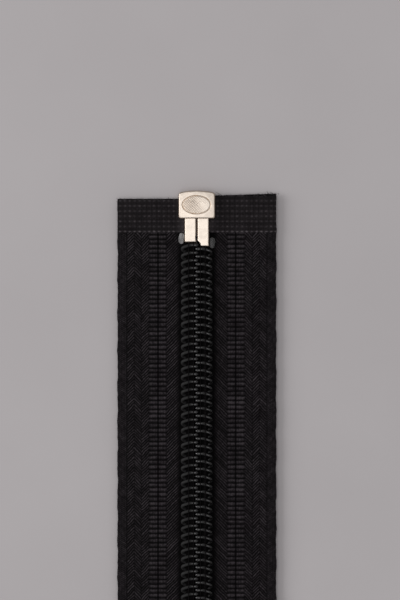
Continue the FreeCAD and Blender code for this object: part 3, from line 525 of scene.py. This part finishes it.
def frayed_edge(side):
    """The loose yarns along the cut end of one tape: many short stubs, and a few longer ones."""
    random = np.random.default_rng(40 + SIDES[side])
    sign = SIDES[side]
    inner_cut, outer_cut = CUTS[side]
    level = (TAPE_LOW[2] + TAPE_HIGH[2]) / 2
    strands = []
    for out in np.cumsum(random.uniform(0.15, 0.9, STUBS)) + FRAY_START:
        edge = END - (inner_cut + (outer_cut - inner_cut) * out / TAPE_HALF)
        length = 0.06 + 0.3 * random.random() ** 3
        lean = 0.5 * (random.random() - 0.5)
        height = level + 0.2 * (random.random() - 0.5)
        root, tip = (sign * out, edge - 0.3, height), (sign * out + lean, edge + length, height)
        strands.append((root, tip, 0.05))
    corner = END - outer_cut
    if side == "right":
        cut = END - inner_cut
        strands += [((8.7, cut - 0.2, level), (6.15, cut + 1.25, level + 0.5), 0.35),
                    ((7.6, cut - 0.2, level), (7.0, cut + 0.55, level + 0.1), 0.1),
                    ((23.0, corner - 0.2, level), (22.4, corner + 0.75, level), 0.2),
                    ((24.6, corner - 0.2, level), (23.4, corner + 0.5, level + 0.2), 0.2),
                    ((25.1, corner - 0.6, level), (25.75, corner + 0.1, level), 0.1)]
    else:
        strands += [((-25.0, corner - 0.3, level), (-25.7, corner + 0.15, level), 0.1),
                    ((-25.1, corner - 1.1, level), (-25.8, corner - 0.75, level), 0.1),
                    ((-9.3, corner - 0.2, level), (-9.0, corner + 0.5, level + 0.1), 0.1),
                    ((-24.2, corner - 0.2, level), (-24.7, corner + 0.35, level), 0.1)]
    return joined([loose_yarn(*strand) for strand in strands])


def tape(side):
    """One woven tape: ribs in relief, a slightly wavy selvedge and a cut end."""
    sign = SIDES[side]
    across, along, every = 125, 1013, 4
    out = np.linspace(TAPE_GAP, TAPE_HALF, across)[None, :]
    inner_cut, outer_cut = CUTS[side]
    cut = inner_cut + (outer_cut - inner_cut) * out / TAPE_HALF
    cut = cut + CUT_WAVE * wander(out, 5 + sign, 0.5)
    station = cut + np.linspace(0, 1, along)[:, None] * (LENGTH - cut)
    edge = np.exp(-(TAPE_HALF - out) / 1.2)
    corner = np.exp(-((station - cut) / 0.5) ** 2) * np.exp(-((TAPE_HALF - out) / 0.5) ** 2)
    wavy = out + edge * SELVEDGE_WAVE * wander(station, 11 + sign, 1.9) - CORNER_WEAR * corner
    x = sign * (wavy + flare(station))
    y = END - station
    lift = weave(-out + 0 * x, y, out + 0 * y)
    roll = SELVEDGE_ROLL * np.exp(-(TAPE_HALF - out) / 0.35)
    top = np.stack([x, y, TAPE_HIGH[2] - RELIEF + RELIEF * lift - roll], axis=-1)
    bottom = np.stack([x, y, TAPE_LOW[2] + roll + 0 * x], axis=-1)
    cloth_points, cloth_faces = slab(top, bottom, every, flip=sign > 0)
    frayed_points, frayed_faces = frayed_edge(side)
    points, faces = joined([(cloth_points, cloth_faces), (frayed_points, frayed_faces)])
    values = np.concatenate([lift.ravel(), lift[::every, ::every].ravel(),
                             np.full(len(frayed_points), 0.6)])
    obj = new_piece(f"{side}_tape_cloth", points, faces, TAPE_CLOTH, values)
    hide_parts(f"{side}_tape")
    bend(obj, side)


def bend(obj, side):
    """Bakes the piece's placement into its mesh."""
    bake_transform(obj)


def ribbon(side, face):
    """The reinforcing ribbon over a tape's end: cross ribs, with a row of knots along each."""
    node = f"{side}_patch_{face}"
    low, high = corners(node)
    every = 4
    x = np.linspace(low[0], high[0], 141)[None, :]
    y = np.linspace(high[1], low[1] + 0.02, 97)[:, None]
    station = END - y
    ribs = np.exp(-((np.mod(station - LAST_RIB + RIB / 2, RIB) - RIB / 2) / RIB_HALF) ** 2)
    knots = ridge(x / KNOT + 0.25) ** 3
    fine = ridge(x / RIBBON_WARP) * ridge(y / RIBBON_WEFT)
    last = np.exp(-((station - LAST_RIB) / LAST_RIB_HALF) ** 2)
    patchy = 0.75 + 0.35 * wander(x * 1.7 + y, 14, 1.3) + 0.25 * wander(y * 2.1 - x, 15, 0.9)
    lift = 0.14 + 0.22 * fine + ribs * (0.08 + 0.62 * knots * patchy) * (0.7 + 0.8 * last)
    lift = np.clip(lift, 0, 1)
    smear = np.exp(-((np.abs(x) - SMEAR_OUT) / SMEAR_HALF) ** 2)
    lift = lift * (1 - 0.5 * smear) + 0.42 * smear
    outward = 1 if face == "front" else -1
    inner = low[2] if face == "front" else high[2]
    relief = high[2] - low[2] + 0.05
    surface = np.stack([x + 0 * y, y + 0 * x, inner + outward * relief * (0.45 + 0.55 * lift)], axis=-1)
    rim = np.minimum(np.minimum(x - low[0], high[0] - x), station - station.min())
    surface[..., 2] -= outward * 0.05 * np.exp(-rim / 0.12)
    base = np.stack([x + 0 * y, y + 0 * x, inner + 0 * x + 0 * y], axis=-1)
    points, faces = slab(surface, base, every, flip=face == "front")
    values = np.concatenate([lift.ravel(), lift[::every, ::every].ravel()])
    obj = new_piece(f"{side}_ribbon_{face}", points, faces, RIBBON, values)
    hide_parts(node)
    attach(obj, frame_body(node))


def frame_body(node):
    """The body that a CAD node belongs to."""
    return next(b for b, nodes in frame["record"]["behaviour"]["bodies"].items() if node in nodes)


# The chain ---------------------------------------------------------------------------------------

def coil(side):
    """One coil: each turn runs inwards over the tape, up at its head, back out and down at the outside."""
    sign = SIDES[side]
    low = COIL_LOW[2] + FILAMENT
    high = COIL_HIGH[2] - FILAMENT
    inner, outer = FILAMENT - HEAD_REACH, COIL_HALF - FILAMENT
    path = []
    for turn in range(TURNS):
        head = FIRST_HEAD[side] + turn * PITCH
        here, there = flare(head), flare(head + PITCH)
        y, y_next = END - head, END - head - PITCH
        route = [
            (TURN_START + here, y, low), (inner + here, y, low), (inner + here, y, high),
            (KNEE + here, y, high), (outer + here, y - LEG_LEAN * PITCH, high),
            (outer + there, y - (1 - LEG_LEAN) * PITCH, low), (LOWER_KNEE + there, y_next, low),
            (TURN_START + there, y_next, low)]
        radii = [HEAD_BEND, HEAD_BEND, KNEE_BEND, HEEL_BEND, HEEL_BEND, FOOT_BEND]
        points = rounded(route, radii, arc_points=5, run=0.8)
        path += points if turn == TURNS - 1 else points[:-1]
    path = np.array(path)
    station = END - path[:, 1]
    nearness = np.clip((HEAD_REACH - (path[:, 0] - flare(station)) + 0.6) / 1.2, 0, 1)
    width = FILAMENT * (1 + HEAD_SPREAD * nearness ** 2 * (3 - 2 * nearness))
    width = width * (1 + 0.012 * wander(station, 3 + sign, 0.9))
    path[:, 0] *= sign
    points, faces = tube(path, width, FILAMENT, FILAMENT_SIDES)
    if sign > 0:
        faces = [face[::-1] for face in faces]
    obj = new_piece(f"{side}_coil_filament", points, faces, NYLON)
    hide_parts(f"{side}_coil")
    bend(obj, side)


def needle_thread(side, row):
    """A row of stitches: over each coil leg, and down between it and the next."""
    sign = SIDES[side]
    place_out = ROWS[row]
    lean = LEG_LEAN * PITCH * max(0.0, place_out - KNEE) / (COIL_HALF - FILAMENT - KNEE)
    over = COIL_HIGH[2] + THREAD + THREAD_LIFT
    under = over - STITCH_DROP
    path = []
    for stitch in range(TURNS):
        head = FIRST_HEAD[side] + stitch * PITCH
        y = END - head - lean
        here = place_out + float(flare(head))
        route = [(here, y + PITCH / 2, under), (here, y + STITCH_FOOT, under),
                 (here, y + STITCH_TOP, over), (here, y - STITCH_TOP, over),
                 (here, y - STITCH_FOOT, under), (here, y - PITCH / 2, under)]
        points = rounded(route, [STITCH_BEND] * 4, arc_points=4, run=0.6)
        path += points if stitch == TURNS - 1 else points[:-1]
    path = np.array(path)
    path[:, 0] = sign * (path[:, 0] + 0.035 * wander(path[:, 1], 21, 0.7))
    points, faces = tube(path, THREAD * 1.15, THREAD, THREAD_SIDES, side_axis=(1, 0, 0))
    obj = new_piece(f"{side}_stitch_row_{row}", points, faces, STITCHING,
                    np.full(len(points), 0.8))
    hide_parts(f"{side}_needle_thread_{row}")
    bend(obj, side)


def along_half(side, out, first, last, spacing):
    """A path that keeps its distance from the middle of one half, at height 0."""
    station = np.arange(first, last, spacing)
    x = SIDES[side] * (out + flare(station))
    return np.stack([x, END - station, 0 * station], axis=-1)


def filler_cord(side):
    """The flat braided cord inside a coil."""
    low, high = corners(f"{side}_filler_cord")
    path = along_half(side, CORD_OUT, END - high[1], END - low[1], 0.3)
    path[:, 2] = (low[2] + high[2]) / 2
    plait = 1 + 0.06 * np.sin(path[:, 1] * 2 * np.pi / PLAIT)
    half_height = (high[2] - low[2]) / 2
    strands = 12
    points, faces = tube(path, CORD_HALF * plait, half_height * plait, strands, side_axis=(1, 0, 0))
    obj = new_piece(f"{side}_cord_in_coil", points, faces, STITCHING,
                    np.tile(ridge(np.arange(strands) / 4), len(path)) * 0.5)
    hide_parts(f"{side}_filler_cord")
    bend(obj, side)


def bobbin_threads(side):
    """The two under threads: each dips into the tape where a needle thread catches it."""
    low, high = corners(f"{side}_bobbin_threads")
    parts = []
    for out in ROWS.values():
        path = along_half(side, out, END - high[1], END - low[1], 0.22)
        stitch = (END - path[:, 1] - FIRST_HEAD[side]) / PITCH
        rise = UNDER_RISE * np.abs(np.sin(np.pi * stitch)) ** 0.5
        path[:, 2] = (low[2] + high[2]) / 2 + rise - UNDER_DROP
        swell = 0.8 + 0.35 * ridge(stitch)
        parts.append(tube(path, THREAD * swell * 1.3, THREAD * swell, THREAD_SIDES,
                          side_axis=(1, 0, 0)))
    points, faces = joined(parts)
    obj = new_piece(f"{side}_under_stitches", points, faces, STITCHING,
                    np.full(len(points), 0.8))
    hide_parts(f"{side}_bobbin_threads")
    bend(obj, side)


# The separating end ------------------------------------------------------------------------------

def oval_reach(angle):
    """From the middle of the box's oval to its outline, in a direction."""
    return 1 / np.sqrt((np.cos(angle) / OVAL_HALF[0]) ** 2 + (np.sin(angle) / OVAL_HALF[1]) ** 2)


def box_reach(angle, inset):
    """From the middle of the oval to the box's outline: straight sides, a bowed end, rounded corners."""
    across, forward = np.cos(angle), np.sin(angle)
    side = (BOX_HIGH[0] - inset - np.sign(across) * OVAL_MIDDLE[0]) / np.maximum(np.abs(across), 1e-6)
    reach = side
    for _ in range(4):
        bow = BOX_CROWN * (reach * across / BOX_HIGH[0]) ** 2
        room = np.where(forward > 0, END - bow - OVAL_MIDDLE[1], OVAL_MIDDLE[1] - BOX_LOW[1]) - inset
        end = room / np.maximum(np.abs(forward), 1e-6)
        reach = (side ** -CORNER_POWER + end ** -CORNER_POWER) ** (-1 / CORNER_POWER)
    return reach


def box_top(x, y):
    """Height of the box's face at a point, and how far its colour turns towards the brown there."""
    dx, dy = x - OVAL_MIDDLE[0], y - OVAL_MIDDLE[1]
    from_rim = np.hypot(dx, dy) - oval_reach(np.arctan2(dy, dx))
    rim = np.exp(-(from_rim / RIM_WIDTH) ** 2)
    inside = step(-from_rim, 0.12, 0.2)
    wear = np.clip(0.66 - 0.75 * dx / OVAL_HALF[0] + 0.2 * wander(dx * 1.3 + dy, 8, 1.1), 0.12, 1)
    lines = [dx * math.sin(KNURL_LEAN) + way * dy * math.cos(KNURL_LEAN) for way in (1, -1)]
    cuts = [np.exp(-((np.abs(np.mod(n / KNURL, 1) - 0.5) - 0.5) / 0.15) ** 2) for n in lines]
    knurl = np.maximum(*cuts) * inside * wear
    dome = DOME_ACROSS * (dx / BOX_HIGH[0]) ** 2 + DOME_ALONG * (dy / (END - OVAL_MIDDLE[1])) ** 2
    dents = 0.02 * wander(dx + 0.6 * dy, 31, 1.5) + 0.015 * wander(dy - 0.3 * dx, 32, 1.2)
    sunk = RIM_DEPTH * rim + PANEL_DEPTH * inside + KNURL_DEPTH * knurl
    height = BOX_HIGH[2] - FACE_SKIN - dome + dents - sunk
    # Darker brown in the groove round the oval and in the knurl cuts, faintly outside the oval.
    groove_darkening = 0.95 * rim * (0.65 + 0.35 * wander(dx - dy, 4, 0.8)) + 0.52 * knurl + 0.05 * (1 - inside)
    return height, np.clip(groove_darkening, 0, 1)


def box_ring(turns, reach, height):
    """One ring of points round the box, seen from the middle of its oval."""
    x, y = OVAL_MIDDLE[0] + reach * np.cos(turns), OVAL_MIDDLE[1] + reach * np.sin(turns)
    return np.stack([x, y, height + 0 * x], axis=-1)


def retainer_box():
    """The box as a lofted shell: worn knurled oval on a domed face, soft edges, cavity and side slits."""
    turns = np.linspace(0, 2 * np.pi, 320, endpoint=False)
    oval, top_edge = oval_reach(turns), box_reach(turns, BOX_ROUND)
    reaches = [oval * share for share in np.linspace(0.03, 0.93, 36)]
    reaches += [oval + gap for gap in (-0.16, -0.08, 0.0, 0.08, 0.16, RIM_BAND)]
    outer = top_edge - oval - RIM_BAND
    reaches += [oval + RIM_BAND + outer * share for share in np.linspace(0, 1, 12)[1:]]
    rings = []
    for reach in reaches:
        ring = box_ring(turns, reach, 0)
        ring[:, 2] = box_top(ring[:, 0], ring[:, 1])[0]
        rings.append(ring)
    shoulder = rings[-1][:, 2]
    for tilt in np.linspace(0, np.pi / 2, 7)[1:]:
        reach = box_reach(turns, BOX_ROUND * (1 - np.sin(tilt)))
        rings.append(box_ring(turns, reach, shoulder - BOX_ROUND * (1 - np.cos(tilt))))
    wall = rings[-1]
    for drop in (0.35, 0.7, 1.0):
        ring = wall.copy()
        ring[:, 2] += (BOX_ROUND_BELOW - wall[:, 2]) * drop
        rings.append(ring)
    for tilt in np.linspace(0, np.pi / 2, 4)[1:]:
        reach = box_reach(turns, BOX_ROUND_BELOW * (1 - np.cos(tilt)))
        rings.append(box_ring(turns, reach, BOX_ROUND_BELOW * (1 - np.sin(tilt))))
    for share in (0.6, 0.2):
        rings.append(box_ring(turns, reach * share, 0))
    points, faces = loft(rings)
    obj = new_piece("retainer_box_shell", points, faces, NICKEL)
    for half_width, floor, roof, end_wall in (PIN_CAVITY, TAPE_SLITS):
        hollow_out(obj, (-half_width, BOX_LOW[1] - PAST_MOUTH, floor),
                   (half_width, BOX_HIGH[1] - end_wall, roof))
    mesh = obj.data
    mesh.polygons.foreach_set("use_smooth", np.ones(len(mesh.polygons), bool))
    mesh.set_sharp_from_angle(angle=BOX_EDGE_ANGLE)
    points = np.empty(len(mesh.vertices) * 3)
    mesh.vertices.foreach_get("co", points)
    points = points.reshape(-1, 3) / MM
    groove_darkening = box_top(points[:, 0], points[:, 1])[1] * (points[:, 2] > FACE_FLOOR)
    layer = mesh.attributes.new("groove_darkening", "FLOAT", "POINT")
    layer.data.foreach_set("value", groove_darkening.astype(np.float32))
    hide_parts("retainer_box")
    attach(obj, "retainer_side")


def hollow_out(obj, low, high):
    """Cuts a box-shaped space, given in millimetres, out of a piece."""
    mesh = bpy.data.meshes.new("cutter")
    points = [(x * MM, y * MM, z * MM) for z in (low[2], high[2])
              for x, y in ((low[0], low[1]), (high[0], low[1]), (high[0], high[1]), (low[0], high[1]))]
    mesh.from_pydata(points, [], [(3, 2, 1, 0), (4, 5, 6, 7), (0, 1, 5, 4), (1, 2, 6, 5), (2, 3, 7, 6),
                                  (3, 0, 4, 7)])
    cutter = bpy.data.objects.new("cutter", mesh)
    bpy.context.scene.collection.objects.link(cutter)
    cut = obj.modifiers.new("hollow", "BOOLEAN")
    cut.object, cut.operation, cut.solver = cutter, "DIFFERENCE", "EXACT"
    bpy.context.view_layer.update()
    finished = bpy.data.meshes.new_from_object(obj.evaluated_get(bpy.context.evaluated_depsgraph_get()))
    obj.modifiers.clear()
    obj.data = finished
    bpy.data.objects.remove(cutter)


def film_bead(side, grey, shine):
    """The smear of film beside an end pin: an uneven, flattened bead with ridges along it."""
    node = f"{side}_film_bead"
    low, high = corners(node)
    centre, half = (low + high) / 2, (high - low) / 2
    across = np.linspace(0, 2 * np.pi, 48, endpoint=False)
    rings = []
    tip = 0.04
    for ring in np.linspace(tip, np.pi - tip, 25):
        girth = np.sin(ring) ** 0.7
        wobble = 1 + 0.10 * np.sin(3 * across + 2.0 * ring) * np.sin(ring)
        x = centre[0] + half[0] * girth * wobble * np.cos(across)
        rib = 0.22 * np.sin(across * 5 + ring) * (np.sin(across) > 0)
        z = centre[2] + half[2] * girth * (np.sin(across) * (1 + rib))
        y = centre[1] + half[1] * np.cos(ring) + 0 * x
        rings.append(np.stack([x, y, z], axis=-1))
    points, faces = loft(rings)
    obj = new_piece(f"{side}_film_smear", points, faces,
                    clear_film(f"{side}_film", grey, shine))
    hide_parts(node)
    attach(obj, frame_body(node))


def lock_leaf():
    """The bowed spring under the cover's roof, which flattens against the roof as the pawl lifts."""
    low, high = corners("lock_spring")
    thick = 0.22
    share = np.linspace(-1, 1, 41)[:, None]
    x = np.linspace(low[0], high[0], 13)[None, :] + 0 * share
    y = (low[1] + high[1]) / 2 + (high[1] - low[1]) / 2 * share + 0 * x
    z = low[2] + (high[2] - thick - low[2]) * (1 - share ** 2) + 0 * x
    roof_side, chain_side = np.stack([x, y, z + thick], axis=-1), np.stack([x, y, z], axis=-1)
    points, faces = slab(roof_side, chain_side, 1, flip=False)
    obj = new_piece("lock_leaf", points, faces, SPRING)
    obj.data.set_sharp_from_angle(angle=EDGE_ANGLE)
    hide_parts("lock_spring")
    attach(obj, frame_body("lock_spring"))
    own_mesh(obj)


# Scene -------------------------------------------------------------------------------------------

def finish_cad_nodes():
    """The metal parts keep their CAD shape and get plating, with smooth shading between sharp edges."""
    for name in ("retainer_pin", "insertion_pin", "left_top_stop", "right_top_stop", "slider_body",
                 "slider_cover", "pull_bail", "pull_tab", "lock_pawl"):
        obj = frame["nodes"][name]
        obj.data.materials.clear()
        obj.data.materials.append(SPRING if name == "lock_pawl" else NICKEL)
        obj.data.polygons.foreach_set("use_smooth", np.ones(len(obj.data.polygons), bool))
        obj.data.set_sharp_from_angle(angle=EDGE_ANGLE)


def studio():
    """Floor, soft light from above and from the left, and the camera straight above the closed end."""
    floor_mesh = bpy.data.meshes.new("floor")
    half, drop = 0.9, 0.0002
    floor_mesh.from_pydata([(-half, -half, 0), (half, -half, 0), (half, half, 0), (-half, half, 0)],
                           [], [(0, 1, 2, 3)])
    floor_mesh.materials.append(table_top("table_top"))
    floor = bpy.data.objects.new("floor", floor_mesh)
    floor.location.z = -drop
    bpy.context.scene.collection.objects.link(floor)

    for name, spot, size, watts in (
            ("overhead", (-0.05, 0.03, 1.1), 0.7, 3.9),
            ("left_window", (-1.6, 0.3, 0.92), 1.15, 21.0)):
        light = bpy.data.lights.new(name, "AREA")
        light.size, light.energy = size, watts
        lamp = bpy.data.objects.new(name, light)
        lamp.location = spot
        aim = Vector((0, 0.04, 0)) - Vector(spot)
        lamp.rotation_euler = aim.to_track_quat("-Z", "Y").to_euler()
        bpy.context.scene.collection.objects.link(lamp)

    world = bpy.data.worlds.new("studio")
    world.use_nodes = True
    world.node_tree.nodes["Background"].inputs["Color"].default_value = (1.0, 0.99, 1.0, 1)
    world.node_tree.nodes["Background"].inputs["Strength"].default_value = 0.4
    bpy.context.scene.world = world
    bpy.context.scene.view_settings.view_transform = "Standard"

    view_height, distance = 0.192, 0.8
    middle = (1.0 * MM, (END - 34.9) * MM)
    camera_data = bpy.data.cameras.new("camera")
    camera_data.lens = camera_data.sensor_width * distance / view_height
    camera = bpy.data.objects.new("camera", camera_data)
    camera.location = (*middle, distance + TAPE_HIGH[2] * MM)
    bpy.context.scene.collection.objects.link(camera)
    bpy.context.scene.camera = camera


for half in SIDES:
    tape(half)
    for surface in ("front", "back"):
        ribbon(half, surface)
    coil(half)
    filler_cord(half)
    bobbin_threads(half)
    for stitch_row in ROWS:
        needle_thread(half, stitch_row)
retainer_box()
film_bead("left", 0.14, 0.5)
film_bead("right", 0.022, 0.28)
lock_leaf()
finish_cad_nodes()
studio()
